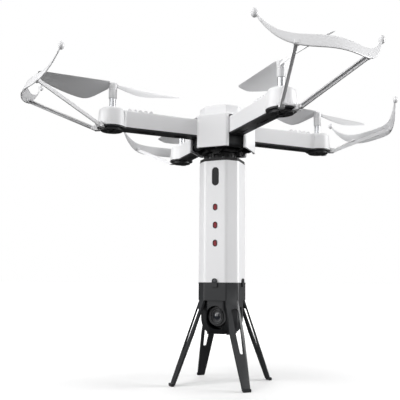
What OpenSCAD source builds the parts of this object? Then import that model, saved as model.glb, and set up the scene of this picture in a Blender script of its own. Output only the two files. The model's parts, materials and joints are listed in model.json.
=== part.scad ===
// Folding quadcopter drone: a slim eight-sided body tube on four splayed legs,
// a head with four arms that fold down beside the tube, a propeller with a
// curved guard on each arm and a tilting camera under the body.
// Millimetres, +Z up. The front, with the button and the lights, faces -Y.

/* [Body tube] */
// Width of the tube across its four wide faces
tube_width = 33.6; // [31:0.2:36]
// Width of the tube across its four corner faces
tube_corner_width = 36.8; // [35:0.2:39]
// Wall thickness of the tube
tube_wall = 1.6; // [1.2:0.1:2]
// Length of the tube that shows above the leg collar
tube_length = 96.1; // [88:0.5:110]
// Rounding of the tube's eight long edges
tube_round = 4.4; // [2.4:0.1:5]
// Rounding of the collar's and the head's eight long edges
edge_round = 2.2; // [1:0.1:3]

/* [Power button and lights] */
// Width of the oval power button
button_width = 5.2; // [4:0.1:6.5]
// Height of the oval power button
button_height = 14.2; // [11:0.1:15]
// Distance from the tube's top edge down to the button's centre
button_drop = 12.7; // [12.4:0.1:16]
// Travel of the button when it is pressed
button_travel = 0.8; // [0.4:0.1:1]
// Width of each oval status light
light_width = 3.8; // [2.4:0.1:4.4]
// Height of each oval status light
light_height = 5.4; // [4.6:0.1:6]
// Distance from the button's centre down to the first light
light_drop = 24.6; // [20:0.1:28]
// Spacing of the three status lights
light_pitch = 14.2; // [10:0.1:16]

/* [Landing gear] */
// Height of the collar's lower edge above the ground
leg_height = 63.8; // [58:0.2:72]
// Height of the collar that holds the tube
collar_height = 13.9; // [12:0.1:16]
// Wall thickness of the collar
collar_wall = 1.3; // [1:0.1:1.6]
// Distance from the centre line to the outside of each foot plate
foot_radius = 42.2; // [38:0.2:46]
// Length of the tab that points outwards at each foot
foot_tab = 1; // [0.6:0.1:3]
// Thickness of the leg plates
leg_thick = 1.5; // [1.4:0.1:2.2]
// Width of a leg at the ground
leg_foot_width = 6; // [5:0.1:8]
// Width of a leg where it leaves the collar
leg_top_width = 11.2; // [10.8:0.1:11.6]
// Distance the slot in a leg lies off its middle, towards the drone's side
slot_shift = 0.9; // [0:0.1:1.2]

/* [Camera] */
// Diameter of the ball that holds the camera
camera_ball = 20.4; // [19.6:0.2:21]
// Gap between the ball and the bracket above it
camera_gap = 0.6; // [0.4:0.1:1]
// Width of the oval ring round the lens
ring_width = 10; // [9:0.1:11]
// Height of the oval ring round the lens
ring_height = 12.4; // [11.4:0.1:12.6]
// Diameter of the lens
lens_diameter = 6.6; // [5:0.1:7]
// Wall thickness of the camera guard
guard_wall = 1.3; // [1:0.1:1.6]

/* [Head] */
// Open gap between the tube and the head, where the neck shows
neck_gap = 9.8; // [8:0.1:12]
// Width of the head across its four panels
head_width = 49.2; // [47:0.2:52]
// Width of the head across its four slotted corners
head_corner_width = 51.6; // [50:0.2:54]
// Height of the head's panels
head_height = 27.3; // [27:0.1:30]
// Wall thickness of the head shell
head_wall = 1.6; // [1.2:0.1:2]
// Height of the cap above the head
cap_height = 9.1; // [7:0.1:12]

/* [Arms] */
// Distance from the centre line to each motor
arm_reach = 93.7; // [90:0.1:100]
// Width of the arm
arm_width = 12.4; // [11:0.1:13]
// Height of the arm's white shell
arm_height = 13.5; // [12:0.1:13.5]
// Height of the arm's white shell above the head's lower edge
arm_rise = 10.9; // [10:0.1:11.2]
// Thickness of the black cover under the arm
cover_thick = 1.2; // [1:0.1:2]
// Wall thickness of the arm's shell
arm_wall = 1.2; // [1:0.1:1.6]
// Distance from the centre line to each hinge pin
hinge_radius = 20; // [19.6:0.1:20.4]
// Diameter of each hinge pin
hinge_pin_diameter = 2.4; // [2:0.1:3]
// Number of grip ridges on top of each arm
ridge_count = 5; // [3:1:6]
// Spacing of the grip ridges
ridge_pitch = 4.35; // [4:0.05:4.6]

/* [Motors and propellers] */
// Diameter of the pod round each motor
pod_diameter = 22; // [20:0.2:24]
// Height of the pod above the arm's lower edge
pod_height = 14.6; // [13.8:0.1:16.6]
// Diameter of each motor
motor_diameter = 14; // [11:0.2:15]
// Diameter of each motor's shaft
shaft_diameter = 4.8; // [3.6:0.1:5]
// Distance from the pod's top to the plane of the propeller
mast_height = 18.7; // [16.4:0.1:21.4]
// Diameter of each propeller
prop_diameter = 117; // [105:0.5:119]
// Widest chord of a blade
blade_chord = 19; // [14:0.2:20]
// Pitch angle of a blade at its widest place
blade_pitch = 38; // [25:1:40]
// Turn diagonal pairs in opposite directions; the photograph shows four alike
opposed_hands = false;

/* [Propeller guards] */
// Distance from the centre line to the middle of the guard's band
guard_reach = 160.8; // [158:0.1:170]
// Distance from the middle of the band to each tip, across the arm
guard_half_span = 46.7; // [42:0.1:50]
// Width of the band
band_width = 9.9; // [7:0.1:12]
// Thickness of the band
band_thick = 1.1; // [0.8:0.1:1.6]
// Width of each strut
strut_width = 2.6; // [2:0.1:3]
// Width of the egg-shaped bead at each tip of the band
bead_width = 4.2; // [3:0.1:5]
// Height of the bead at each tip of the band
bead_height = 6; // [4.4:0.1:7]

/* [Hidden] */
$fn = 48;
fit_gap = 0.1;          // clearance round a fitted, fixed piece
run_gap = 0.05;         // radial clearance of a shaft in its bore
free_gap = 0.4;         // clearance beside a moving piece
over = 0.5;             // how far a cut runs past a face

// Heights, from the ground up
z_collar = leg_height;
z_rim = z_collar + collar_height;
z_tube_top = z_rim + tube_length;
z_head = z_tube_top + neck_gap;
z_roof = z_head + head_height;
z_cap = z_roof + cap_height;
z_arm = z_head + arm_rise;
z_arm_top = z_arm + arm_height;
z_cover = z_arm - cover_thick;
z_pod_top = z_arm + pod_height;
z_blade = z_pod_top + mast_height;
z_button = z_tube_top - button_drop;

// Body tube
tube_face = tube_width / 2;
tube_corner = tube_corner_width / 2;
floor_thick = 2;                                     // floor of the collar
spigot_face = tube_face - collar_wall - fit_gap;     // tube's end in the collar
spigot_corner = tube_corner - collar_wall - fit_gap;
z_spigot = z_collar + floor_thick + fit_gap;
rim_ring = 1;                                        // dark ring on the tube

// Landing gear
pad_thick = 0.8;                                     // rubber pad under each foot
leg_lean = atan2(foot_radius - tube_corner, leg_height);
leg_depth = leg_thick / cos(leg_lean);               // thickness along a radius
leg_bend = 20;                                       // turn of a leg's narrow edge
bend_at = 3.4;                                       // from a leg's middle to its bend
bend_depth = (leg_top_width / 2 - bend_at) * tan(leg_bend);

// Hinges: an arm folds down until its propeller clears those of its neighbours
prop_radius = prop_diameter / 2;
prop_gap = 2.2;
hinge_z = hinge_radius + z_blade - prop_radius - prop_gap;
hinge_pin_radius = hinge_pin_diameter / 2;
lug_radius = hinge_pin_radius + 1.7;
arm_half = arm_width / 2;
arm_start = hinge_radius - 4;                        // inner end of the arm
slot_half = arm_half + free_gap;                     // half width of a head slot
cheek_thick = 1.8;

// Head
head_face = head_width / 2;
head_corner = head_corner_width / 2;
column_corner = arm_start - 1.6;                     // frame's column, corners
column_face = column_corner + 0.8;
column_wall = 1.8;

// Pods, motors and propellers
pod_radius = pod_diameter / 2;
pod_wall = 1.4;
shaft_radius = shaft_diameter / 2;
sleeve_radius = shaft_radius + 0.7;
sleeve_length = 9;
base_step = 1.8;                                     // lower tier under the pod
base_radius = pod_radius - 0.2;                      // upper tier
lower_radius = pod_radius - 2.6;
z_base = z_cover - base_step;
motor_top = z_pod_top - 4.4;

// Camera
ball_radius = camera_ball / 2;
yoke_base = 1.2;                                     // plate on top of the yoke
camera_height = z_collar - yoke_base - camera_gap - ball_radius;
ball_flat = ball_radius - 0.8;                       // half width of the ball
trunnion_radius = 1.5;
bowl_radius = tube_face - 1.2;                       // outside of the guard's bowl
bowl_corner = tube_corner - leg_depth - bend_depth - 0.3; // inside the legs' roots
yoke_thick = 2;
yoke_inside = ball_flat + free_gap;
nose_radius = 7.4;                                   // camera's front, inside the window
camera_face = 10.8;                                  // where the lens ring starts
lens_front = camera_face + 1.5;
lens_radius = lens_diameter / 2;

// Each arm's name, its angle from +X, how far its propeller is turned from the
// arm at rest, and whether it is one of the pair that opposed_hands turns round
ARMS = [["fr", -45, 2.5, false], ["fl", -135, 5, true],
        ["rr", 45, 8, true], ["rl", 135, 3.5, false]];
ARM_PARTS = ["arm_shell", "arm_cover", "motor", "motor_shaft", "propeller",
             "guard_frame", "guard_band", "hinge_pin"];

// ---- Shapes used by several pieces ----

function dir(a) = [cos(a), sin(a)];

// Outline of an eight-sided bar with rounded edges. `face` and `corner` are the
// distances from its centre to the wide faces and to the corner faces.
function octo(face, corner, r = edge_round, steps = 4) =
    [for (k = [0:7])
        let (near = (k % 2 == 0 ? face : corner) - r,
             next = (k % 2 == 0 ? corner : face) - r,
             centre = near * dir(45 * k) + (next * sqrt(2) - near) * dir(45 * k + 90))
        for (j = [0:steps]) centre + r * dir(45 * (k + j / steps))];

function lift(points, z) = [for (p = points) [p[0], p[1], z]];

// Skin through rings of equal counts, closed at both ends. Each ring runs
// counter-clockwise seen from the last ring.
module loft(rings) {
    n = len(rings[0]);
    last = len(rings) - 1;
    polyhedron(
        points = [for (ring = rings) each ring],
        faces = [
            [for (i = [0:n - 1]) i],
            for (k = [0:last - 1], i = [0:n - 1], half = [0, 1])
                let (a = k * n + i, b = k * n + (i + 1) % n)
                half == 0 ? [a, a + n, b + n] : [a, b + n, b],
            [for (i = [n - 1:-1:0]) last * n + i]]);
}

module octo_bar(face, corner, z0, z1, r = edge_round) {
    translate([0, 0, z0]) linear_extrude(z1 - z0) polygon(octo(face, corner, r));
}

// Eight-sided block whose top edge is rounded
module octo_block(face, corner, z0, z1, top_round, r = edge_round) {
    loft(concat([lift(octo(face, corner, r), z0)],
        [for (t = [0:22.5:90])
            let (inset = top_round * (1 - cos(t)))
            lift(octo(face - inset, corner - inset, r), z1 - top_round * (1 - sin(t)))]));
}

module at_faces() { for (a = [0:90:270]) rotate(a) children(); }
module at_corners() { for (a = [45:90:315]) rotate(a) children(); }
module on_arm(angle) { rotate(angle) children(); }

// Cylinder along X, Y or Z between two places on that axis
module rod_x(r, x0, x1) { translate([x0, 0, 0]) rotate([0, 90, 0]) cylinder(r = r, h = x1 - x0); }
module rod_y(r, y0, y1) { translate([0, y1, 0]) rotate([90, 0, 0]) cylinder(r = r, h = y1 - y0); }
module rod_z(r, z0, z1) { translate([0, 0, z0]) cylinder(r = r, h = z1 - z0); }
module block(x, y, z) {
    translate([x[0], y[0], z[0]]) cube([x[1] - x[0], y[1] - y[0], z[1] - z[0]]);
}

// Flat oval, longer along Y
module oval(width, height) {
    straight = (height - width) / 2;
    square([width, 2 * straight], center = true);
    for (side = [-1, 1]) translate([0, side * straight]) circle(d = width);
}

// Cuts or bars that stand on the front face, drawn as seen from the front
module through_front(y0, y1) { translate([0, y1, 0]) rotate([90, 0, 0]) linear_extrude(y1 - y0) children(); }

// ---- Landing gear ----

ear_radius = 2.1;
ear_z = z_rim + 1.1;
ear_thick = 1.2;
gear_screw_radius = 0.8;

// Places up a leg: part of its height, half width. It is widest at its belly.
leg_end = 1 + floor_thick / leg_height;              // plates end inside the floor
LEG = [[0, leg_foot_width / 2], [0.6, leg_top_width / 2 + 0.5], [leg_end, leg_top_width / 2]];
// The same for its slot
SLOT = [[0.42, 1.5], [0.6, 2.2], [0.88, 3]];

// Face of a leg: tapered, with a long slot nearer to the drone's side
module leg_outline(slope) {
    size = leg_height * slope;
    difference() {
        polygon([for (side = [1, -1], k = side > 0 ? [0, 1, 2] : [2, 1, 0])
            [side * LEG[k][1], LEG[k][0] * size]]);
        translate([slot_shift, 0]) {
            polygon([for (side = [1, -1], k = side > 0 ? [0, 1, 2] : [2, 1, 0])
                [side * SLOT[k][1], SLOT[k][0] * size]]);
            translate([0, SLOT[0][0] * size]) circle(r = SLOT[0][1]);
            translate([0, SLOT[2][0] * size]) scale([1, 0.6]) circle(r = SLOT[2][1]);
        }
    }
}

// Section of a leg: a plate whose narrow edge turns back
module leg_section() {
    wide = leg_top_width;
    back = (wide - bend_at) * tan(leg_bend);
    turn = leg_thick * tan(leg_bend / 2);
    polygon([[0, -wide], [0, bend_at], [-back, wide], [-back - leg_thick / cos(leg_bend), wide],
             [-leg_thick, bend_at - turn], [-leg_thick, -wide]]);
}

module leg() {
    slope = 1 / cos(leg_lean);
    intersection() {
        union() {
            // The plate stands on its foot and leans in to the collar's corner
            translate([foot_radius, 0, 0]) rotate([0, -leg_lean, 0]) intersection() {
                rotate([90, 0, 90]) translate([0, 0, -leg_top_width])
                    linear_extrude(2 * leg_top_width) leg_outline(slope);
                linear_extrude(leg_end * leg_height * slope) leg_section();
            }
            // Foot that carries the pad, with its tab to the outside
            block([foot_radius - leg_thick, foot_radius + foot_tab],
                  [-leg_foot_width / 2, leg_foot_width / 2], [pad_thick, pad_thick + 1.3]);
        }
        union() {
            block([0, 2 * foot_radius], [-foot_radius, foot_radius], [pad_thick, z_collar]);
            rotate(45) octo_bar(tube_face, tube_corner, z_collar, z_collar + floor_thick);
        }
    }
}

module landing_gear() color("#2b2c2e") {
    difference() {
        union() {
            octo_bar(tube_face, tube_corner, z_collar, z_rim);
            at_faces() translate([0, 0, ear_z]) {
                rod_x(ear_radius, tube_face + run_gap, tube_face + ear_thick);
                block([tube_face - run_gap, tube_face + ear_thick],
                      [-ear_radius, ear_radius], [-4.5, 0]);
            }
        }
        octo_bar(spigot_face + fit_gap, spigot_corner + fit_gap, z_collar + floor_thick, z_rim + over);
        // Room for the full tube beside the ears, and the cable's way down
        octo_bar(tube_face + run_gap, tube_corner + run_gap, z_rim, z_rim + 2 * ear_radius + over);
        rod_z(3, z_collar - over, z_collar + floor_thick + over);
        at_faces() translate([0, 0, ear_z]) {
            rod_x(gear_screw_radius, tube_face - 1, tube_face + ear_thick + over);
            rod_x(1.4, tube_face + ear_thick - 0.7, tube_face + ear_thick + over);
        }
    }
    // Each leg's narrow edge is on the drone's left or right side
    for (a = [45:90:315]) rotate(a) scale([1, a % 180 == 45 ? -1 : 1, 1]) leg();
}

// Four small screws that hold the ears to the tube
module gear_screws() color("#17181a") at_faces() translate([0, 0, ear_z]) difference() {
    union() {
        rod_x(gear_screw_radius - run_gap, tube_face - tube_wall + 0.2, tube_face + ear_thick);
        rod_x(1.3, tube_face + ear_thick - 0.7, tube_face + ear_thick - 0.1);
    }
    block([tube_face + ear_thick - 0.5, tube_face + ear_thick + over], [-1, 1], [-0.2, 0.2]);
    block([tube_face + ear_thick - 0.5, tube_face + ear_thick + over], [-0.2, 0.2], [-1, 1]);
}

// Thin rubber pads under the feet
module foot_pads() color("#151515") at_corners()
    block([foot_radius - leg_thick, foot_radius + foot_tab],
          [-leg_foot_width / 2, leg_foot_width / 2], [0, pad_thick]);

// ---- Body tube, button, lights and power ----

board_y = tube_face - tube_wall - 3.6;               // front of the control board
board_thick = 1.2;
board_half = 9;
plug_depth = 4;                                      // neck's plug in the tube
board_z0 = z_button - light_drop - 2 * light_pitch - 8;
board_z1 = z_tube_top - plug_depth - free_gap;
switch_height = 0.8;

module light_places() {
    for (k = [0:2]) translate([0, z_button - light_drop - k * light_pitch]) children();
}

module body_tube() color("white") {
    difference() {
        union() {
            octo_bar(tube_face, tube_corner, z_rim, z_tube_top, tube_round);
            octo_bar(spigot_face, spigot_corner, z_spigot, z_rim);
        }
        octo_bar(tube_face - tube_wall, tube_corner - tube_wall, z_rim + tube_wall,
                 z_tube_top + over, edge_round - 0.8);
        octo_bar(spigot_face - tube_wall, spigot_corner - tube_wall, z_spigot - over,
                 z_rim + 2 * tube_wall, edge_round - 0.8);
        through_front(-tube_face - over, -tube_face + tube_wall + over) {
            translate([0, z_button]) oval(button_width + 0.6, button_height + 0.6);
            light_places() oval(light_width + 2 * run_gap, light_height + 2 * run_gap);
        }
        at_faces() translate([0, 0, ear_z])
            rod_x(gear_screw_radius, tube_face - tube_wall - over, tube_face + over);
    }
    // Rails inside the front wall that the control board rests on
    for (side = [-1, 1]) scale([side, 1, 1])
        block([board_half - 2, board_half - 0.8], [-tube_face + tube_wall - 0.1, -board_y],
              [board_z0, board_z1]);
}

// Dark ring that seals the top of the tube
module tube_ring() color("#1a1b1d") difference() {
    octo_bar(tube_face - 0.2, tube_corner - 0.2, z_tube_top, z_tube_top + rim_ring);
    octo_bar(tube_face - tube_wall, tube_corner - tube_wall, z_tube_top - over,
             z_tube_top + rim_ring + over, edge_round - 0.8);
}

// Oval button with a flange that keeps it in the tube, and a plunger
module power_button() color("#101113") {
    flange = tube_face - tube_wall - 0.3;
    translate([0, 0, z_button]) {
        through_front(-tube_face - 0.2, -flange) oval(button_width, button_height);
        through_front(-flange, -flange + 0.8) oval(button_width + 2, button_height + 1.6);
        rod_y(1, -flange, -board_y - switch_height - button_travel - fit_gap);
    }
}

// Push switch on the control board, behind the button
module button_switch() color("#55585c") translate([0, 0, z_button])
    block([-2, 2], [-board_y - switch_height, -board_y], [-2, 2]);

// Three red lenses, each with a rim inside the wall
module status_lights() color("#8c1414") {
    through_front(-tube_face - 0.1, -board_y) light_places() oval(light_width, light_height);
}

module control_board() color("#1d5b3a") {
    block([-board_half, board_half], [-board_y, -board_y + board_thick], [board_z0, board_z1]);
    // Chips and the battery's plug on the back of the board
    for (chip = [[-4, 20, 3], [3, 34, 2.5], [-3, 50, 2]])
        block([chip[0] - chip[2], chip[0] + chip[2]],
              [-board_y + board_thick, -board_y + board_thick + 1],
              [board_z0 + chip[1] - chip[2], board_z0 + chip[1] + chip[2]]);
}

// Rounded battery behind the board, on the ledge where the tube narrows
battery_half = (tube_face - tube_wall - 0.3 + board_y - board_thick - 1.6) / 2;
battery_y = tube_face - tube_wall - 0.3 - battery_half;

module battery_pack() color("#2f5f9e") translate([0, battery_y, 0]) {
    z_top = z_tube_top - 14;
    octo_bar(battery_half, tube_corner - tube_wall - 0.4 - battery_y * cos(45),
             z_rim + tube_wall, z_top, 1.6);
    rod_z(2.5, z_top, z_top + 2);
}

// ---- Neck and head ----

flange_face = tube_face - 0.5;
flange_corner = tube_corner - 0.5;
flange_thick = 1.6;
z_neck = z_tube_top + rim_ring;                      // underside of the flange
z_frame = z_head - 2;                                // underside of the head frame
neck_radius = 12.2;
neck_screw_at = tube_face - 3.2;

// Plug in the tube, flange on the dark ring, and a ribbed drum up to the head
module neck_mount() color("#1c1d1f") difference() {
    union() {
        octo_bar(tube_face - tube_wall - fit_gap, tube_corner - tube_wall - fit_gap,
                 z_tube_top - plug_depth, z_neck + flange_thick, edge_round - 0.9);
        octo_bar(flange_face, flange_corner, z_neck, z_neck + flange_thick);
        rod_z(neck_radius, z_neck, z_frame);
        // Ribs of the drum, and a pad under each side of the head
        for (a = [0:15:345]) rotate(a)
            block([neck_radius - 1, neck_radius + 0.7], [-0.5, 0.5], [z_neck, z_frame - 1]);
        at_faces() block([4, tube_face - 1], [-2.6, 2.6], [z_frame - 2, z_frame]);
    }
    rod_z(neck_radius - 3.2, z_tube_top - plug_depth - over, z_frame + over);
    at_faces() for (side = [-1, 1]) translate([neck_screw_at, side * 5.4, 0])
        rod_z(0.9, z_neck - 3, z_neck + flange_thick + over);
}

// Eight screws down through the flange
module neck_screws() color("#b9bcc0") at_faces() for (side = [-1, 1])
    translate([neck_screw_at, side * 5.4, 0]) difference() {
        union() {
            rod_z(0.85, z_neck - 2, z_neck + flange_thick);
            rod_z(1.3, z_neck + flange_thick, z_neck + flange_thick + 0.8);
        }
        block([-0.9, 0.9], [-0.2, 0.2], [z_neck + flange_thick + 0.4, z_neck + flange_thick + 1]);
    }

bracket_half = head_width / 8;                       // half width of a panel's bracket
bracket_drop = 6;                                    // roof to the upper brackets

// Black frame: base plate, hollow column, and a fork for each arm's hinge
module head_frame() color("#141516") {
    difference() {
        union() {
            octo_bar(tube_face - 0.6, column_corner + 1.2, z_frame, z_frame + 2);
            octo_bar(column_face, column_corner, z_frame, z_roof - head_wall, 1.2);
            // Brackets that carry the four panels of the head shell
            at_faces() for (z = [z_head + 3, z_roof - bracket_drop])
                block([column_face - 1, head_face - head_wall], [-bracket_half, bracket_half],
                      [z, z + 1.6]);
            at_faces() block([column_face - 1, head_face - head_wall], [-0.8, 0.8],
                             [z_head + 3, z_roof - bracket_drop + 1.6]);
            // Hinge forks
            at_corners() for (side = [-1, 1]) scale([1, side, 1])
                translate([0, slot_half, 0]) hinge_cheek();
        }
        octo_bar(column_face - column_wall, column_corner - column_wall,
                 z_frame + 2, z_roof + over, 0.6);
        rod_z(neck_radius - 4, z_frame - over, z_frame + 2 + over);
        at_corners() translate([hinge_radius, 0, hinge_z])
            rod_y(hinge_pin_radius + run_gap, -slot_half - 3, slot_half + 3);
    }
}

module hinge_cheek() {
    reach = hinge_radius + 3.4;
    translate([0, cheek_thick, 0]) rotate([90, 0, 0]) linear_extrude(cheek_thick) {
        polygon([[column_corner - 2, z_frame], [column_corner + 1.2, z_frame],
                 [reach, hinge_z - 1], [reach, hinge_z], [hinge_radius - 1, hinge_z + 6],
                 [column_corner - 2, hinge_z + 9]]);
        translate([hinge_radius, hinge_z]) circle(r = 3.4);
    }
}

// Flight controller, upright in the column
module flight_board() color("#1d5b3a") {
    half = column_face - column_wall - 1.4;
    block([-half, half], [-0.6, 0.6], [z_frame + 2, z_roof - head_wall - 3]);
    for (z = [z_head + 6, z_head + 15])
        block([-3, 3], [0.6, 1.8], [z, z + 6]);
}

// White shell: four panels under one roof, with a slot for each arm
module head_shell() color("white") difference() {
    octo_block(head_face, head_corner, z_head, z_roof, 2);
    octo_bar(head_face - head_wall, head_corner - head_wall, z_head - over,
             z_roof - head_wall, edge_round - 0.8);
    at_corners() block([column_corner, head_corner + over], [-slot_half, slot_half],
                       [z_head - over, z_roof - head_wall]);
    octo_bar(tube_face - 3, tube_corner - 3, z_roof - head_wall - over, z_roof + over);
}

// Cap with the tube's own section, plugged into the roof
module top_cap() color("white") difference() {
    union() {
        octo_block(tube_face, tube_corner, z_roof, z_cap, 1.8);
        octo_bar(tube_face - 3 - fit_gap, tube_corner - 3 - fit_gap, z_roof - head_wall, z_roof);
    }
    octo_bar(tube_face - 3 - tube_wall, tube_corner - 3 - tube_wall,
             z_roof - head_wall - over, z_cap - 1.8);
}

// ---- Arms ----

end_round = 2.5;                                     // arm's upper inner corner
ridge_start = arm_reach - 12.5;                      // first grip ridge
fillet = 3;                                          // concave corner at the pod
fillet_y = arm_half + fillet;
fillet_x = arm_reach - sqrt(pow(pod_radius + fillet, 2) - pow(fillet_y, 2));
fillet_turn = 90 - asin(fillet_y / (pod_radius + fillet));

module arm_section(half, z0, z1, r) {
    polygon(concat([[-half, z0], [half, z0]],
        [for (a = [0:22.5:90]) [half - r, z1 - r] + r * dir(a)],
        [for (a = [90:22.5:180]) [r - half, z1 - r] + r * dir(a)]));
}

recess = 0.5;                                        // depth of the cover's recesses

module along_arm(x0, x1) { translate([x0, 0, 0]) rotate([90, 0, 90]) linear_extrude(x1 - x0) children(); }

// Plan of the concave corners between the arm and its pod
module flare(inset, z0, z1) {
    edge = [for (k = [0:4]) [fillet_x, fillet_y]
        + (fillet + inset) * dir(k / 4 * fillet_turn - 90)];
    translate([0, 0, z0]) linear_extrude(z1 - z0) polygon(concat(edge,
        [for (k = [4:-1:0]) [edge[k][0], -edge[k][1]]]));
}

module arm_shell() color("white") difference() {
    union() {
        along_arm(arm_start, arm_reach) arm_section(arm_half, z_arm, z_arm_top, 1.8);
        flare(0, z_arm, z_arm_top - 0.9);
        translate([arm_reach, 0, 0]) rotate_extrude() polygon(concat(
            [[0, z_arm], [pod_radius, z_arm]],
            [for (a = [0:15:90]) [pod_radius - 4.2, z_pod_top - 3.4]
                + [3.4 * cos(a), 3.4 * sin(a)]],
            [[shaft_radius + 2.2, z_pod_top], [shaft_radius + 2.2, z_pod_top + 0.6],
             [0, z_pod_top + 0.6]]));
        // Grip ridges
        for (k = [0:ridge_count - 1])
            translate([ridge_start - k * ridge_pitch, 0, z_arm_top])
                rod_y(1.6, -arm_half + 1.6, arm_half - 1.6);
    }
    translate([arm_start, 0, z_arm_top]) difference() {
        block([-over, end_round], [-arm_half - over, arm_half + over], [-end_round, over]);
        translate([end_round, 0, -end_round]) rod_y(end_round, -arm_width, arm_width);
    }
    along_arm(arm_start + arm_wall, arm_reach)
        arm_section(arm_half - arm_wall, z_arm - over, z_arm_top - arm_wall, 0.9);
    flare(arm_wall, z_arm - over, z_arm_top - 0.9 - arm_wall);
    translate([arm_reach, 0, 0]) {
        rod_z(pod_radius - pod_wall, z_arm - over, z_pod_top - 3.4);
        rod_z(shaft_radius + free_gap, z_pod_top - 4, z_pod_top + 2);
        // Flutes on the side that points outwards
        for (a = [-72:12:72]) rotate(a) translate([pod_radius + 0.1, 0, 0])
            rod_z(0.55, z_arm + 1.6, z_pod_top - 5);
    }
}

// Black cover under the arm, with the hinge lug and the pod's two-tier base
module arm_cover() color("#232426") difference() {
    union() {
        block([arm_start, arm_reach], [-arm_half + 0.2, arm_half - 0.2], [z_cover, z_arm]);
        flare(0.2, z_cover, z_arm);
        translate([arm_reach, 0, 0]) {
            rod_z(base_radius, z_cover, z_arm);
            rod_z(lower_radius, z_base, z_cover);
        }
        // Rails that key the cover into the shell
        for (side = [-1, 1]) scale([1, side, 1])
            block([arm_start + 4, fillet_x - 2],
                  [arm_half - arm_wall - fit_gap - 0.9, arm_half - arm_wall - fit_gap],
                  [z_arm, z_arm + 1.8]);
        // Hinge lug
        translate([hinge_radius, 0, hinge_z]) {
            rod_y(lug_radius, -arm_half, arm_half);
            block([-lug_radius, lug_radius], [-arm_half, arm_half], [0, z_cover - hinge_z + 0.1]);
        }
    }
    translate([hinge_radius, 0, hinge_z])
        rod_y(hinge_pin_radius + run_gap, -arm_half - over, arm_half + over);
    // Recesses and screw holes seen from below
    for (part = [0.4, 0.73]) translate([part * arm_reach, 0, z_cover - over])
        linear_extrude(over + recess) rotate(90) oval(3.6, 11);
    for (part = [0.29, 0.64]) translate([part * arm_reach, 0, 0])
        rod_z(1, z_cover - over, z_arm + over);
    translate([arm_reach, 0, 0]) {
        rod_z(2.4, z_base - over, z_base + 1.2);
        for (a = [0:45:315]) rotate(a)
            block([3.6, lower_radius - 1], [-0.6, 0.6], [z_base - over, z_base + 1]);
    }
}

// Motor can that stands on the pod's base
module motor() color("#8f9499") translate([arm_reach, 0, 0]) difference() {
    rotate_extrude() polygon([
        [0, z_arm], [motor_diameter / 2, z_arm], [motor_diameter / 2, motor_top - 2],
        [motor_diameter / 2 - 1, motor_top - 1], [shaft_radius + 1.2, motor_top - 1],
        [shaft_radius + 1.2, motor_top], [0, motor_top]]);
    rod_z(shaft_radius + run_gap, z_arm + 1.2, motor_top + over);
}

module motor_shaft() color("#c4c7ca")
    translate([arm_reach, 0, 0]) rod_z(shaft_radius, z_arm + 1.6, z_blade - 1.6);

// Steel pin through the fork and the arm's lug
module hinge_pin() color("#c4c7ca") translate([hinge_radius, 0, hinge_z])
    rod_y(hinge_pin_radius, -slot_half - cheek_thick, slot_half + cheek_thick);

// ---- Propellers ----

blade_steps = 13;
section_steps = 5;

// Chord along the blade: narrow root, widest at a third, square tip
function chord(t) = blade_chord * (t < 0.33
    ? 0.34 + 0.66 * pow(sin(90 * t / 0.33), 1.3)
    : 1 - 0.58 * pow((t - 0.33) / 0.67, 1.5));
function lead(t) = 3.4 - 1.2 * t;                    // straight front edge
function pitch_at(t) = blade_pitch + 4 - 14 * t;
function blade_thick(t) = 1.5 - 0.8 * t;
tip_cut = 2.7;                                       // how far the tip is cut back

// One section of a blade that points along +X and moves towards +Y
function blade_ring(t) =
    let (x = prop_radius * (0.03 + 0.97 * t), c = chord(t), p = pitch_at(t),
         flat = [for (side = [-1, 1], k = [0:section_steps])
            let (u = side < 0 ? k / section_steps : 1 - k / section_steps,
                 z = c * 0.05 * sin(180 * u)
                     + side * (0.16 + 0.84 * sin(180 * u)) * blade_thick(t) / 2)
            [x - tip_cut * (1 - u) * pow(t, 6), lead(t) - c + c * u, z]])
    [for (q = flat) [q[0], q[1] * cos(p) - q[2] * sin(p), q[1] * sin(p) + q[2] * cos(p)]];

module propeller(turned, reversed) color("#e9eaeb") translate([arm_reach, 0, 0]) {
    hand = opposed_hands && reversed ? -1 : 1;
    difference() {
        union() {
            rod_z(sleeve_radius, z_blade - 1.6 - sleeve_length, z_blade);
            translate([0, 0, z_blade - 2.6]) rotate_extrude() polygon(concat([[0, 0], [3.3, 0]],
                [for (a = [0:30:90]) [2.3 + cos(a), 3.4 + sin(a)]], [[0, 4.4]]));
        }
        rod_z(shaft_radius + run_gap / 2, z_blade - sleeve_length - 4, z_blade - 1.4);
    }
    // Both blades start at the sleeve's wall, clear of the shaft
    translate([0, 0, z_blade]) scale([1, hand, 1])
        for (turn = [0, 180]) rotate(turned + turn) difference() {
            loft([for (k = [0:blade_steps]) blade_ring(k / blade_steps)]);
            rod_z(sleeve_radius - 0.4, -12, -1.2);
        }
}

// ---- Propeller guards ----

// The band bows away from the arm and climbs to both tips
function band_low(s) = let (q = pow(s / 50, 2))
    [guard_reach - 25 * q + 3.5 * q * q, z_arm + 17.7 - 6 * q + 34.5 * q * q];
function band_rise(s) = band_width * (1 - 0.78 * pow(abs(s) / guard_half_span, 3.5));
band_lean = [-0.4, 0.917];                           // lower edge to upper edge
band_normal = [0.917, 0.4];
band_steps = 24;
root_angle = 31;                                     // of a strut's root, round the pod
root_out = pod_radius + 2.2;                         // middle of a strut's foot
strut_foot = [arm_reach + root_out * cos(root_angle), root_out * sin(root_angle), z_arm - 0.8];
strut_head = [guard_reach - 8.4, 0.54 * guard_half_span, z_arm + 20.1];
root_high = z_arm + 1.6;
root_low = z_cover - 1;
clip_wall = 0.7;                                     // arc that joins the two roots

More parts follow.
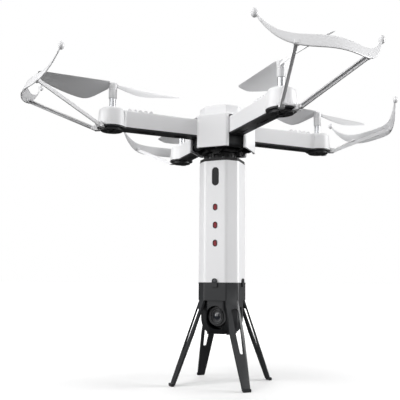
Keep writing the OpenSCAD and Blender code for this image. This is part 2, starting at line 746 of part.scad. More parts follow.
module band() {
    loft([for (k = [0:band_steps])
        let (s = guard_half_span * (2 * k / band_steps - 1), low = band_low(s),
             high = low + band_rise(s) * band_lean, out = band_normal * band_thick)
        [[low[0] + out[0], s, low[1] + out[1]], [low[0], s, low[1]],
         [high[0], s, high[1]], [high[0] + out[0], s, high[1] + out[1]]]]);
}

// Extrusion along the line of a strut, from one distance to another. In its
// section +X is down and +Y is away from the other strut.
module on_strut(from, to) {
    run = strut_head - strut_foot;
    translate(strut_foot) rotate([0, acos(run[2] / norm(run)), atan2(run[1], run[0])])
        translate([0, 0, from]) linear_extrude(to - from) children();
}

strut_length = norm(strut_head - strut_foot);

// Angle section: an upright web with a flange along its top
module strut_section() {
    half = strut_width / 2;
    polygon([[-half, -half], [0.8 - half, -half], [0.8 - half, 0.1], [half, 0.1],
             [half, half], [-half, half]]);
}

// Two struts on roots that clip round the pod's base
module guard_frame() color("#dcdee0") difference() {
    union() {
        translate([arm_reach, 0, 0]) {
            // Thin arc above the black base, on the side away from the arm
            difference() {
                rod_z(pod_radius + clip_wall, z_arm + 0.2, root_high);
                block([-2 * pod_radius, 0.7 * pod_radius], [-2 * pod_radius, 2 * pod_radius],
                      [z_base, z_pod_top]);
            }
            for (side = [-1, 1]) rotate(side * root_angle) {
                block([pod_radius - 1, root_out + 0.6], [-2.2, 2.2], [root_low, root_high]);
                // Tab under the base
                block([lower_radius + 0.2, pod_radius], [-1.5, 1.5], [root_low, z_cover - 0.1]);
            }
        }
        for (side = [-1, 1]) scale([1, side, 1]) {
            on_strut(-1, 3) square(strut_width, center = true);
            on_strut(0, strut_length) strut_section();
        }
    }
    translate([arm_reach, 0, 0]) {
        rod_z(pod_radius + run_gap, z_cover - 0.1, z_pod_top);
        rod_z(lower_radius + 0.2, z_base, z_pod_top);
    }
}

module guard_band() color("#eceded") {
    band();
    for (side = [-1, 1]) scale([1, side, 1]) {
        // Socket that takes the end of a strut
        on_strut(strut_length, strut_length + 2.6) square(strut_width + 0.8, center = true);
        high = band_low(guard_half_span) + band_rise(guard_half_span) * band_lean / 2;
        translate([high[0] + 0.5, guard_half_span, high[1]]) rotate_extrude()
            polygon([for (a = [-90:15:90]) [bead_width * cos(a), bead_height * sin(a)] / 2]);
    }
}

// ---- Camera ----

camera_window_round = nose_radius + 0.5;

// Bowl that hangs under the collar, with a window for the camera's front
module camera_guard() color("#1e1f21") {
    levels = [0, 0.2, 0.4, 0.58, 0.72, 0.82, 0.88];
    difference() {
        loft(concat(
            [for (k = [len(levels) - 1:-1:0])
                let (s = pow(1 - pow(levels[k], 2.6), 1 / 2.6))
                lift(octo(bowl_radius * s, bowl_corner * s, edge_round * s),
                     camera_height - levels[k] * bowl_radius)],
            [lift(octo(bowl_radius, bowl_corner), z_collar)]));
        translate([0, 0, camera_height]) {
            sphere(r = bowl_radius - guard_wall);
            rod_z(bowl_radius - guard_wall, 0, z_collar - camera_height + over);
            rod_z(4.6, -2 * bowl_radius, 0);
            through_front(-2 * bowl_radius, 0) translate([0, -1.1])
                oval(2 * camera_window_round, 2 * camera_window_round + 2.6);
            // Arched line round the window
            through_front(-2 * bowl_radius, 0.5 - bowl_radius) difference() {
                arch(camera_window_round + 1.1);
                arch(camera_window_round + 0.6);
            }
            // Narrow windows in the sides
            rotate(90) through_front(-2 * bowl_radius, 2 * bowl_radius)
                translate([0, 2.2]) oval(4.4, 10);
        }
    }
    // Small lobes under the four pillars
    at_corners() translate([0.73 * bowl_radius, 0, camera_height])
        rod_z(1.5, -0.9 * bowl_radius, -0.7 * bowl_radius);
}

module arch(half) {
    circle(r = half);
    translate([-half, 0]) square([2 * half, z_collar - camera_height + over]);
}

// Bracket under the collar's floor that holds the camera between two arms
module camera_yoke() color("#1a1b1c") difference() {
    union() {
        block([-yoke_inside - yoke_thick, yoke_inside + yoke_thick], [-4, 4],
              [z_collar - yoke_base, z_collar]);
        for (side = [-1, 1]) scale([side, 1, 1]) {
            block([yoke_inside, yoke_inside + yoke_thick], [-4, 4], [camera_height, z_collar]);
            translate([0, 0, camera_height]) rod_x(4, yoke_inside, yoke_inside + yoke_thick);
        }
    }
    translate([0, 0, camera_height])
        rod_x(trunnion_radius + run_gap, -yoke_inside - 5, yoke_inside + 5);
    rod_z(2.4, z_collar - 2, z_collar + over);
}

// Ball with flat sides, and a round nose that holds the lens ring
module camera_ball() color("#26282a") translate([0, 0, camera_height]) {
    difference() {
        union() {
            intersection() {
                sphere(r = ball_radius, $fn = 64);
                block([-ball_flat, ball_flat], [-ball_radius, ball_radius],
                      [-ball_radius, ball_radius]);
            }
            rod_y(nose_radius, -camera_face, 0);
        }
        rod_y(lens_radius + 0.6, -ball_radius - 2, 3 - camera_face);
    }
    rod_x(trunnion_radius, ball_flat - 1, yoke_inside + yoke_thick);
    rod_x(trunnion_radius, -yoke_inside - yoke_thick, -ball_flat + 1);
}

// Oval, stepped ring in front of the nose, with a sleeve round the lens
module lens_barrel() color("#101112") translate([0, 0, camera_height]) difference() {
    union() {
        through_front(-lens_front, -camera_face) oval(ring_width, ring_height);
        rod_y(lens_radius + 0.6 - fit_gap, -camera_face, 2.8 - camera_face);
    }
    through_front(-lens_front - over, 0.6 - lens_front) oval(ring_width - 2.2, ring_height - 2.2);
    rod_y(lens_radius - 0.2, -lens_front, 4 - camera_face);
}

module lens_glass() color("#23303c") translate([0, 0, camera_height]) intersection() {
    rod_y(lens_radius - 0.2 - fit_gap, 0.4 - lens_front, -camera_face + 1.5);
    translate([0, 0.4 - lens_front + lens_diameter, 0]) sphere(r = lens_diameter, $fn = 64);
}

// ---- What is drawn ----

landing_gear();
gear_screws();
foot_pads();
body_tube();
tube_ring();
power_button();
button_switch();
status_lights();
control_board();
battery_pack();
neck_mount();
neck_screws();
head_frame();
flight_board();
head_shell();
top_cap();
camera_guard();
camera_yoke();
camera_ball();
lens_barrel();
lens_glass();
for (arm = ARMS) on_arm(arm[1]) {
    arm_shell();
    arm_cover();
    motor();
    motor_shaft();
    propeller(arm[2], arm[3]);
    guard_frame();
    guard_band();
    hinge_pin();
}
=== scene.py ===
import json
import math

import bmesh
import bpy
from mathutils import Matrix, Vector
from mathutils.bvhtree import BVHTree


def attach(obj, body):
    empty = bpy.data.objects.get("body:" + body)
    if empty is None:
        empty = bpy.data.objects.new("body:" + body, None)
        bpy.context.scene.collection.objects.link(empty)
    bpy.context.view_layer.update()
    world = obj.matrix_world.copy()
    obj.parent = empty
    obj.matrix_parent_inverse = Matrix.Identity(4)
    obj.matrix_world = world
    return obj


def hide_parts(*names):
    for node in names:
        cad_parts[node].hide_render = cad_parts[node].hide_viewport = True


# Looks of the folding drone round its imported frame. Metres, +Z up, front at -Y.

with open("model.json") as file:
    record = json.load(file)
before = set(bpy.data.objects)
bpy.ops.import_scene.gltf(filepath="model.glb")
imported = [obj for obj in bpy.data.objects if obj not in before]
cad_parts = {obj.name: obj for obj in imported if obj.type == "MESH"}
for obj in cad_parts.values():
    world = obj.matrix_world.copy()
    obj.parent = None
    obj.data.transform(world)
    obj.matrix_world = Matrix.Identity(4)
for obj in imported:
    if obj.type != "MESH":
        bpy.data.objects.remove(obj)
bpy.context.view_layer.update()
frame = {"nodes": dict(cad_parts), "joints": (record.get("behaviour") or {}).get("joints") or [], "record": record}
NODES = frame["nodes"]
BODY_OF = {node: body for body, nodes in frame["record"]["behaviour"]["bodies"].items()
           for node in nodes}
SLOT_OF = {part["node"]: part["material_slot"] for part in frame["record"]["subparts"]}

MM = 0.001
ARMS = {"fr": -45.0, "fl": -135.0, "rr": 45.0, "rl": 135.0}
MERGE = 2e-6                 # metres; vertices closer than this are one


# ---------------------------------------------------------------- camera

IMAGE_SIZE = 400
CAMERA_PLACE = Vector((0.15885, -0.44323, 0.07805))
CAMERA_TURN = 21.94          # degrees to the left of +Y
CAMERA_PITCH = 8.0           # degrees above level
CAMERA_ROLL = 0.49           # degrees, the right side tilted up
LENS = 52.41
SENSOR = 36.0
SHIFT_X = 0.0
SHIFT_Y = 0.0
CLIP = (0.01, 20.0)


def make_camera():
    turn, pitch, roll = map(math.radians, (CAMERA_TURN, CAMERA_PITCH, CAMERA_ROLL))
    ahead = Vector((-math.sin(turn) * math.cos(pitch), math.cos(turn) * math.cos(pitch),
                    math.sin(pitch)))
    level = Vector((math.cos(turn), math.sin(turn), 0.0))
    above = level.cross(ahead)
    right = level * math.cos(roll) + above * math.sin(roll)
    up = above * math.cos(roll) - level * math.sin(roll)
    data = bpy.data.cameras.new("camera")
    data.lens, data.sensor_width, data.sensor_fit = LENS, SENSOR, "AUTO"
    data.shift_x, data.shift_y = SHIFT_X, SHIFT_Y
    data.clip_start, data.clip_end = CLIP
    camera = bpy.data.objects.new("camera", data)
    bpy.context.scene.collection.objects.link(camera)
    axes = Matrix((right, up, -ahead)).transposed().to_4x4()
    camera.matrix_world = Matrix.Translation(CAMERA_PLACE) @ axes
    bpy.context.scene.camera = camera
    return camera


camera = make_camera()


# ---------------------------------------------------------------- numbers in node trees

class Num:
    """A number in a node tree: sums of these add the Math nodes that work them out."""

    def __init__(self, tree, socket):
        self.tree, self.socket = tree, socket

    def math(self, operation, *others):
        node = self.tree.nodes.new("ShaderNodeMath")
        node.operation = operation
        for slot, value in zip(node.inputs, (self, *others)):
            if isinstance(value, Num):
                self.tree.links.new(value.socket, slot)
            else:
                slot.default_value = value
        return Num(self.tree, node.outputs[0])

    def __add__(self, other):
        return self.math("ADD", other)

    def __sub__(self, other):
        return self.math("SUBTRACT", other)

    def __mul__(self, other):
        return self.math("MULTIPLY", other)

    def __truediv__(self, other):
        return self.math("DIVIDE", other)

    def __pow__(self, other):
        return self.math("POWER", other)

    def __neg__(self):
        return self * -1.0

    def sin(self):
        return self.math("SINE")

    def cos(self):
        return self.math("COSINE")

    def least(self, other):
        return self.math("MINIMUM", other)

    def most(self, other):
        return self.math("MAXIMUM", other)


def geometry_tree(name, inputs):
    """A tree that makes a mesh from named sizes; returns it with those sizes as numbers."""
    tree = bpy.data.node_groups.new(name, "GeometryNodeTree")
    tree.interface.new_socket("Geometry", in_out="OUTPUT", socket_type="NodeSocketGeometry")
    for label, value in inputs.items():
        kind = {int: "NodeSocketInt", float: "NodeSocketFloat"}.get(type(value), "NodeSocketObject")
        socket = tree.interface.new_socket(label, in_out="INPUT", socket_type=kind)
        if value is not None:
            socket.default_value = value
    given = tree.nodes.new("NodeGroupInput")
    return tree, {label: Num(tree, given.outputs[label]) for label in inputs}


def node_of(tree, kind, **inputs):
    """A new node, with its inputs set or linked by name."""
    node = tree.nodes.new(kind)
    for label, value in inputs.items():
        slot = node.inputs[label.replace("_", " ")]
        if isinstance(value, Num):
            tree.links.new(value.socket, slot)
        elif isinstance(value, bpy.types.NodeSocket):
            tree.links.new(value, slot)
        else:
            slot.default_value = value
    return node


def end_tree(tree, geometry, material):
    real = node_of(tree, "GeometryNodeRealizeInstances", Geometry=geometry)
    paint = node_of(tree, "GeometryNodeSetMaterial", Geometry=real.outputs["Geometry"],
                    Material=material)
    out = tree.nodes.new("NodeGroupOutput")
    tree.links.new(paint.outputs["Geometry"], out.inputs["Geometry"])


def sheet_place(tree):
    """Where a vertex of a unit grid lies: how far along and how far round, 0 to 1."""
    place = node_of(tree, "ShaderNodeSeparateXYZ",
                    Vector=tree.nodes.new("GeometryNodeInputPosition").outputs["Position"])
    return (Num(tree, place.outputs["X"]) + 0.5), (Num(tree, place.outputs["Y"]) + 0.5)


def wrapped_skin(tree, size, x, y, z, material):
    """Ends a tree with a unit grid that is bent into a closed skin, its seam and ends merged."""
    grid = node_of(tree, "GeometryNodeMeshGrid", Size_X=1.0, Size_Y=1.0,
                   Vertices_X=size["Along"], Vertices_Y=size["Around"])
    bent = node_of(tree, "GeometryNodeSetPosition", Geometry=grid.outputs["Mesh"],
                   Position=combined(tree, x, y, z))
    closed = node_of(tree, "GeometryNodeMergeByDistance", Geometry=bent.outputs["Geometry"],
                     Distance=MERGE)
    end_tree(tree, closed.outputs["Geometry"], material)


def combined(tree, x, y, z):
    node = tree.nodes.new("ShaderNodeCombineXYZ")
    for slot, value in zip(node.inputs, (x, y, z)):
        if isinstance(value, Num):
            tree.links.new(value.socket, slot)
        else:
            slot.default_value = value
    return node.outputs[0]


# ---------------------------------------------------------------- materials

def shader(name, colour, roughness, **sockets):
    """A new material, with its tree, its shader and object coordinates."""
    material = bpy.data.materials.new(name)
    material.use_nodes = True
    tree = material.node_tree
    bsdf = next(n for n in tree.nodes if n.type == "BSDF_PRINCIPLED")
    bsdf.inputs["Base Color"].default_value = (*colour, 1.0)
    bsdf.inputs["Roughness"].default_value = roughness
    for label, value in sockets.items():
        bsdf.inputs[label.replace("_", " ")].default_value = value
    place = tree.nodes.new("ShaderNodeTexCoord").outputs["Object"]
    return material, tree, bsdf, place


def noise(tree, place, scale, detail=2.0, roughness=0.5):
    node = tree.nodes.new("ShaderNodeTexNoise")
    node.inputs["Scale"].default_value = scale
    node.inputs["Detail"].default_value = detail
    node.inputs["Roughness"].default_value = roughness
    tree.links.new(place, node.inputs["Vector"])
    return node.outputs["Fac"]


def spread(tree, factor, low, high):
    """The factor's middle range carried over to a range of its own."""
    node = tree.nodes.new("ShaderNodeMapRange")
    node.inputs["From Min"].default_value = 0.3
    node.inputs["From Max"].default_value = 0.7
    node.inputs["To Min"].default_value = low
    node.inputs["To Max"].default_value = high
    tree.links.new(factor, node.inputs["Value"])
    return node.outputs["Result"]


def mixed(tree, factor, first, second):
    node = tree.nodes.new("ShaderNodeMix")
    node.data_type = "RGBA"
    tree.links.new(factor, node.inputs["Factor"])
    for label, colour in (("A", first), ("B", second)):
        slot = next(s for s in node.inputs if s.name == label and s.type == "RGBA")
        if isinstance(colour, tuple):
            slot.default_value = (*colour, 1.0)
        else:
            tree.links.new(colour, slot)
    return next(s for s in node.outputs if s.type == "RGBA")


def bump(tree, bsdf, height, strength, distance):
    node = tree.nodes.new("ShaderNodeBump")
    node.inputs["Strength"].default_value = strength
    node.inputs["Distance"].default_value = distance
    tree.links.new(height, node.inputs["Height"])
    tree.links.new(node.outputs["Normal"], bsdf.inputs["Normal"])


def moulded(name, colour, roughness, grain=0.25, tint=0.03, **sockets):
    """Satin moulded plastic: a fine spark-eroded grain, faint flow clouds and handling."""
    material, tree, bsdf, place = shader(name, colour, roughness, **sockets)
    clouds = noise(tree, place, 45.0, 3.0)
    darker = tuple(c * (1.0 - tint) for c in colour)
    tree.links.new(mixed(tree, clouds, darker, colour), bsdf.inputs["Base Color"])
    handling = noise(tree, place, 160.0, 4.0, 0.6)
    tree.links.new(spread(tree, handling, roughness - 0.05, roughness + 0.06),
                   bsdf.inputs["Roughness"])
    bump(tree, bsdf, noise(tree, place, 3200.0, 1.0), grain, 0.00004)
    return material


def metal(name, colour, roughness):
    """Turned or drawn metal, with fine marks that run round and a little staining."""
    material, tree, bsdf, place = shader(name, colour, roughness, Metallic=1.0)
    stretch = tree.nodes.new("ShaderNodeMapping")
    stretch.inputs["Scale"].default_value = (1.0, 1.0, 14.0)
    tree.links.new(place, stretch.inputs["Vector"])
    marks = noise(tree, stretch.outputs["Vector"], 420.0, 3.0)
    tree.links.new(spread(tree, marks, roughness - 0.08, roughness + 0.1),
                   bsdf.inputs["Roughness"])
    stain = noise(tree, place, 120.0, 2.0)
    tree.links.new(mixed(tree, stain, tuple(c * 0.85 for c in colour), colour),
                   bsdf.inputs["Base Color"])
    bump(tree, bsdf, marks, 0.1, 0.00003)
    return material


def circuit(name):
    """Green solder mask, with the faint relief of its tracks."""
    material, tree, bsdf, place = shader(name, (0.015, 0.11, 0.06), 0.35)
    tracks = tree.nodes.new("ShaderNodeTexBrick")
    tracks.inputs["Scale"].default_value = 420.0
    tracks.inputs["Mortar Size"].default_value = 0.04
    tree.links.new(place, tracks.inputs["Vector"])
    tree.links.new(mixed(tree, tracks.outputs["Fac"], (0.015, 0.11, 0.06), (0.05, 0.2, 0.1)),
                   bsdf.inputs["Base Color"])
    bump(tree, bsdf, tracks.outputs["Fac"], 0.3, 0.00005)
    return material


def coated_glass(name):
    """Dark lens glass under a clear coat; a painted sheen turns its colour a faint blue towards the rim, where the
    glass faces away from the view.
    """
    material, tree, bsdf, place = shader(name, (0.01, 0.014, 0.03), 0.05,
                                         Coat_Weight=1.0, Coat_Roughness=0.03)
    # Painted sheen: the base colour is mixed towards blue by how far the glass faces away from the view.
    edge = tree.nodes.new("ShaderNodeLayerWeight")
    edge.inputs["Blend"].default_value = 0.35
    tree.links.new(mixed(tree, edge.outputs["Facing"], (0.01, 0.011, 0.017), (0.03, 0.05, 0.07)),
                   bsdf.inputs["Base Color"])
    wiped = noise(tree, place, 300.0, 2.0)
    tree.links.new(spread(tree, wiped, 0.04, 0.09), bsdf.inputs["Roughness"])
    return material


def lit_lens(name):
    """Red moulded lens with a prism pattern behind its face."""
    material, tree, bsdf, place = shader(name, (0.2, 0.008, 0.012), 0.18,
                                         Specular_IOR_Level=0.3)
    prisms = tree.nodes.new("ShaderNodeTexVoronoi")
    prisms.inputs["Scale"].default_value = 1800.0
    tree.links.new(place, prisms.inputs["Vector"])
    tree.links.new(mixed(tree, prisms.outputs["Distance"], (0.3, 0.012, 0.02),
                         (0.12, 0.003, 0.006)), bsdf.inputs["Base Color"])
    bump(tree, bsdf, prisms.outputs["Distance"], 0.2, 0.0001)
    return material


MATERIALS = {
    "white_shell": moulded("white_shell", (0.80, 0.80, 0.81), 0.36, 0.12, 0.02),
    "propeller_white": moulded("propeller_white", (0.70, 0.70, 0.71), 0.34, 0.1, 0.03),
    "guard_white": moulded("guard_white", (0.78, 0.78, 0.79), 0.32, 0.1, 0.02),
    "black_plastic": moulded("black_plastic", (0.018, 0.019, 0.021), 0.42, 0.35, 0.12,
                             Specular_IOR_Level=0.4),
    "cover_black": moulded("cover_black", (0.02, 0.021, 0.023), 0.45, 0.35, 0.12,
                           Specular_IOR_Level=0.35),
    "frame_black": moulded("frame_black", (0.01, 0.01, 0.011), 0.5, 0.35, 0.12,
                           Specular_IOR_Level=0.3),
    "camera_black": moulded("camera_black", (0.042, 0.042, 0.045), 0.28, 0.15, 0.12),
    "button_black": moulded("button_black", (0.005, 0.005, 0.006), 0.3, 0.05, 0.1,
                            Specular_IOR_Level=0.25),
    "red_lens": lit_lens("red_lens"),
    "lens_glass": coated_glass("lens_glass"),
    "rubber_pad": moulded("rubber_pad", (0.016, 0.016, 0.017), 0.75, 0.6, 0.15),
    "steel": metal("steel", (0.62, 0.63, 0.65), 0.3),
    "dark_screw": metal("dark_screw", (0.09, 0.09, 0.095), 0.35),
    "metal_can": metal("metal_can", (0.5, 0.51, 0.53), 0.35),
    "circuit_board": circuit("circuit_board"),
    "battery_wrap": moulded("battery_wrap", (0.04, 0.13, 0.33), 0.3, 0.1, 0.1, Coat_Weight=0.5),
}

for node, thing in NODES.items():
    thing.data.materials.clear()
    thing.data.materials.append(MATERIALS[SLOT_OF[node]])


# ---------------------------------------------------------------- making pieces

def added(name, mesh, body, slot, smooth_angle=30.0):
    """A finished piece at the origin, which rides on a body."""
    mesh.materials.clear()
    mesh.materials.append(MATERIALS[slot])
    if smooth_angle is not None:
        mesh.shade_smooth()
        mesh.set_sharp_from_angle(angle=math.radians(smooth_angle))
    thing = bpy.data.objects.new(name, mesh)
    bpy.context.scene.collection.objects.link(thing)
    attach(thing, body)
    return thing


def evaluated(thing, name):
    """What a thing's modifiers make, as a plain mesh; the thing is removed."""
    graph = bpy.context.evaluated_depsgraph_get()
    mesh = bpy.data.meshes.new_from_object(thing.evaluated_get(graph), depsgraph=graph)
    mesh.name = name
    bpy.data.objects.remove(thing)
    return mesh


def grown(tree, name, **sizes):
    """The plain mesh that a tree makes with these sizes."""
    holder = bpy.data.objects.new(name + "_maker", bpy.data.meshes.new(name + "_maker"))
    bpy.context.scene.collection.objects.link(holder)
    maker = holder.modifiers.new("maker", "NODES")
    maker.node_group = tree
    sockets = {item.name: item.identifier for item in tree.interface.items_tree
               if item.item_type == "SOCKET" and item.in_out == "INPUT"}
    for label, value in sizes.items():
        maker[sockets[label.replace("_", " ")]] = value
    mesh = evaluated(holder, name)
    work = bmesh.new()
    work.from_mesh(mesh)
    bmesh.ops.recalc_face_normals(work, faces=work.faces)
    work.to_mesh(mesh)
    work.free()
    return mesh


def joined(name, meshes):
    """One mesh of several, each given as (mesh, matrix that places it)."""
    work = bmesh.new()
    for mesh, place in meshes:
        part = mesh.copy()
        part.transform(place)
        if place.determinant() < 0:
            part.flip_normals()
        work.from_mesh(part)
        bpy.data.meshes.remove(part)
    mesh = bpy.data.meshes.new(name)
    work.to_mesh(mesh)
    work.free()
    return mesh


def turned(name, profile, steps=48, straight=0.0):
    """A lathe-turned mesh: (radius, height) points, from the axis below to the axis above.
    With a straight length it is an oval, that much longer each way along Y."""
    turns = [(math.cos(a), math.sin(a)) for a in (2 * math.pi * (k + 0.5) / steps
                                                  for k in range(steps))]
    work = bmesh.new()
    rings = []
    for radius, height in profile:
        if radius < 1e-9:
            rings.append([work.verts.new((0.0, 0.0, height))])
        else:
            rings.append([work.verts.new((radius * x, radius * y + math.copysign(straight, y),
                                          height)) for x, y in turns])
    for low, high in zip(rings, rings[1:]):
        for k in range(steps):
            after = (k + 1) % steps
            corners = [low[k % len(low)], low[after % len(low)],
                       high[after % len(high)], high[k % len(high)]]
            face = list(dict.fromkeys(corners))
            if len(face) > 2:
                work.faces.new(face)
    bmesh.ops.recalc_face_normals(work, faces=work.faces)
    mesh = bpy.data.meshes.new(name)
    work.to_mesh(mesh)
    work.free()
    return mesh


def rounded_block(name, size, rounding, segments=2):
    """A block about the origin with all its edges rounded."""
    work = bmesh.new()
    bmesh.ops.create_cube(work, size=1.0, matrix=Matrix.Diagonal((*size, 1.0)))
    bmesh.ops.bevel(work, geom=work.edges[:], offset=rounding, segments=segments,
                    affect="EDGES", profile=0.5)
    mesh = bpy.data.meshes.new(name)
    work.to_mesh(mesh)
    work.free()
    return mesh


SLIVER = 1e-6                # metres; edges shorter than this are dissolved
FLAT_ANGLE = 0.6             # degrees; triangles flatter than this become one face
EDGE_ANGLE = 32.0            # degrees; edges sharper than this are rounded
SMOOTH_ANGLE = 40.0          # degrees; a softened piece shades smoothly up to this
ROUND_STEPS = 2


def merged_copy(node):
    """The CAD node's mesh with its triangles joined into clean faces."""
    work = bmesh.new()
    work.from_mesh(NODES[node].data)
    bmesh.ops.remove_doubles(work, verts=work.verts, dist=MERGE)
    bmesh.ops.dissolve_degenerate(work, edges=work.edges, dist=SLIVER)
    bmesh.ops.dissolve_limit(work, angle_limit=math.radians(FLAT_ANGLE), verts=work.verts,
                             edges=work.edges, delimit=set())
    mesh = bpy.data.meshes.new(node + "_merged")
    work.to_mesh(mesh)
    work.free()
    return mesh


def softened(node, width):
    """The CAD node with its edges rounded, which stands for the node."""
    mesh = merged_copy(node)
    thing = bpy.data.objects.new(node + "_work", mesh)
    bpy.context.scene.collection.objects.link(thing)
    rounding = thing.modifiers.new("rounding", "BEVEL")
    rounding.width, rounding.segments = width * MM, ROUND_STEPS
    rounding.limit_method, rounding.angle_limit = "ANGLE", math.radians(EDGE_ANGLE)
    rounding.use_clamp_overlap = True
    mesh = flat_kept(evaluated(thing, node + "_soft"))
    piece = added(node + "_soft", mesh, BODY_OF[node], SLOT_OF[node], None)
    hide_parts(node)
    return piece


def flat_kept(mesh):
    """The mesh with normals that keep its large faces flat beside rounded edges."""
    mesh.shade_smooth()
    mesh.set_sharp_from_angle(angle=math.radians(SMOOTH_ANGLE))
    thing = bpy.data.objects.new(mesh.name + "_flat", mesh)
    bpy.context.scene.collection.objects.link(thing)
    weighted = thing.modifiers.new("weighted", "WEIGHTED_NORMAL")
    weighted.keep_sharp = True
    return evaluated(thing, mesh.name)


# How far each piece's edges are rounded, in mm
SOFT = {
    "body_tube": 0.25, "head_shell": 0.35, "top_cap": 0.3, "landing_gear": 0.25,
    "camera_guard": 0.2, "camera_yoke": 0.2, "head_frame": 0.2, "neck_mount": 0.2,
    "foot_pads": 0.2, "tube_ring": 0.15, "power_button": 0.35, "status_lights": 0.4,
}
for node, width in SOFT.items():
    softened(node, width)
SOFT_ON_ARM = {"arm_shell_": 0.3, "arm_cover_": 0.25, "guard_frame_": 0.15}
for arm in ARMS:
    for start, width in SOFT_ON_ARM.items():
        softened(start + arm, width)


# ---------------------------------------------------------------- repeats

def make_row_tree():
    """Copies of a small part along a line."""
    tree, size = geometry_tree("row", {"Part": None, "Count": 3, "Step X": 0.0, "Step Y": 0.0,
                                       "Step Z": 0.0})
    line = node_of(tree, "GeometryNodeMeshLine", Count=size["Count"],
                   Offset=combined(tree, size["Step X"], size["Step Y"], size["Step Z"]))
    part = node_of(tree, "GeometryNodeObjectInfo", Object=size["Part"])
    copies = node_of(tree, "GeometryNodeInstanceOnPoints", Points=line.outputs["Mesh"],
                     Instance=part.outputs["Geometry"])
    return tree, copies.outputs["Instances"]


def make_ring_tree():
    """Copies of a small part round the Z axis, each turned to face outwards."""
    tree, size = geometry_tree("ring", {"Part": None, "Count": 4, "Radius": 0.01,
                                        "First Angle": 0.0, "Step Angle": 90.0})
    line = node_of(tree, "GeometryNodeMeshLine", Count=size["Count"])
    order = Num(tree, tree.nodes.new("GeometryNodeInputIndex").outputs["Index"])
    angle = (size["First Angle"] + size["Step Angle"] * order) * (math.pi / 180)
    spread_out = node_of(tree, "GeometryNodeSetPosition", Geometry=line.outputs["Mesh"],
                         Position=combined(tree, size["Radius"] * angle.cos(),
                                           size["Radius"] * angle.sin(), 0.0))
    part = node_of(tree, "GeometryNodeObjectInfo", Object=size["Part"])
    copies = node_of(tree, "GeometryNodeInstanceOnPoints", Points=spread_out.outputs["Geometry"],
                     Instance=part.outputs["Geometry"], Rotation=combined(tree, 0.0, 0.0, angle))
    return tree, copies.outputs["Instances"]


def repeated(make_tree, name, part_mesh, slot, **sizes):
    """The mesh of a small part repeated by a tree."""
    tree, copies = make_tree()
    end_tree(tree, copies, MATERIALS[slot])
    part = bpy.data.objects.new(name + "_part", part_mesh)
    bpy.context.scene.collection.objects.link(part)
    mesh = grown(tree, name, Part=part, **sizes)
    bpy.data.objects.remove(part)
    return mesh


# ---------------------------------------------------------------- screws and rims

FLANGE_TOP = 176.4 * MM                # neck's flange, which the screws hold to the tube
NECK_SCREW_AT = (13.6, 5.4)            # mm, out from the axis and to each side
EAR_FACE = 18.0 * MM
EAR_HEIGHT = 78.8 * MM
EAR_SUNK = 0.7 * MM                    # the screw's head starts inside the ear's face
# mm: radius and height of the head, radius and length of the shank
NECK_SCREW = (1.3, 0.8, 0.85, 3.6)
EAR_SCREW = (1.3, 0.5, 0.75, 2.0)


def screw_mesh(name, radius, height, shank, length):
    """A pan-head screw along Z, its head above zero, with a cross recess."""
    body = turned(name, [(0.0, -length), (shank * 0.8, -length), (shank, -length * 0.9),
                         (shank, 0.0), (radius, 0.0), (radius, height * 0.45),
                         (radius * 0.93, height * 0.75), (radius * 0.7, height * 0.95),
                         (radius * 0.4, height), (0.0, height)], 24)
    head = bpy.data.objects.new(name, body)
    bpy.context.scene.collection.objects.link(head)
    cutters = []
    for wide, deep in ((1.2, 0.3), (0.3, 1.2)):
        blade = rounded_block(name + "_cut", (wide * radius, deep * radius, height), radius * 0.05)
        blade.transform(Matrix.Translation((0, 0, height * 0.95)))
        cutter = bpy.data.objects.new(name + "_cut", blade)
        bpy.context.scene.collection.objects.link(cutter)
        cut = head.modifiers.new("recess", "BOOLEAN")
        cut.operation, cut.solver, cut.object = "DIFFERENCE", "EXACT", cutter
        cutters.append(cutter)
    mesh = evaluated(head, name)
    for cutter in cutters:
        bpy.data.objects.remove(cutter)
    return mesh


def make_screws():
    out, side = NECK_SCREW_AT
    turn = math.degrees(math.atan2(side, out))
    neck = screw_mesh("neck_screw", *(size * MM for size in NECK_SCREW))
    rows = [repeated(make_ring_tree, "neck_screws", neck, "steel", Count=4,
                     Radius=math.hypot(out, side) * MM, First_Angle=first, Step_Angle=90.0)
            for first in (-turn, turn)]
    lifted = Matrix.Translation((0, 0, FLANGE_TOP))
    piece = added("neck_screw_heads", joined("neck_screw_heads", [(row, lifted) for row in rows]),
                  "airframe", "steel", 35.0)
    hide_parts("neck_screws")
    ear = screw_mesh("ear_screw", *(size * MM for size in EAR_SCREW))
    ear.transform(Matrix.Rotation(math.pi / 2, 4, "Y"))
    row = repeated(make_ring_tree, "gear_screws", ear, "dark_screw", Count=4,
                   Radius=EAR_FACE - EAR_SUNK, First_Angle=0.0, Step_Angle=90.0)
    lifted = Matrix.Translation((0, 0, EAR_HEIGHT))
    piece = added("ear_screw_heads", joined("ear_screw_heads", [(row, lifted)]),
                  "airframe", "dark_screw", 35.0)
    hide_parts("gear_screws")


make_screws()


# ---------------------------------------------------------------- propellers

HUB_OF = {joint["name"][-2:]: Vector(joint["pos_m"]) for joint in frame["joints"]
          if joint["name"].startswith("rotor_spin")}
PROPELLER_RADIUS = 58.5 * MM
PROPELLER_TURN = {"fr": 2.5, "fl": 5.0, "rr": 8.0, "rl": 3.5}
BLADE_CHORD, BLADE_THICK = 19.0 * MM, 1.5 * MM
BLADE_PITCH, BLADE_PITCH_MORE = 38.0, 4.0      # degrees; the second is added at the root
BLADE_TWIST = 14.0                             # degrees, from the root to the tip
BLADE_LEAD, BLADE_SWEEP = 3.4 * MM, 1.2 * MM   # front edge before the hub, and its way back
BLADE_THINNING = 0.8 * MM                      # thickness lost towards the tip
BLADE_TIP_CUT = 2.7 * MM                       # the tip's rear corner is this much shorter
BLADE_CAMBER = 0.05                            # height of the arch, part of the chord
BLADE_START = 0.03                             # where it starts, part of the radius
BLADE_WIDEST = 0.33                            # where it is widest, part of its length
BLADE_ROOT = 0.34                              # chord at the root, part of the widest
BLADE_TAPER = 0.58                             # chord lost at the tip, part of the widest
ROOT_CLOSING = 0.02                            # part of the length that closes the root
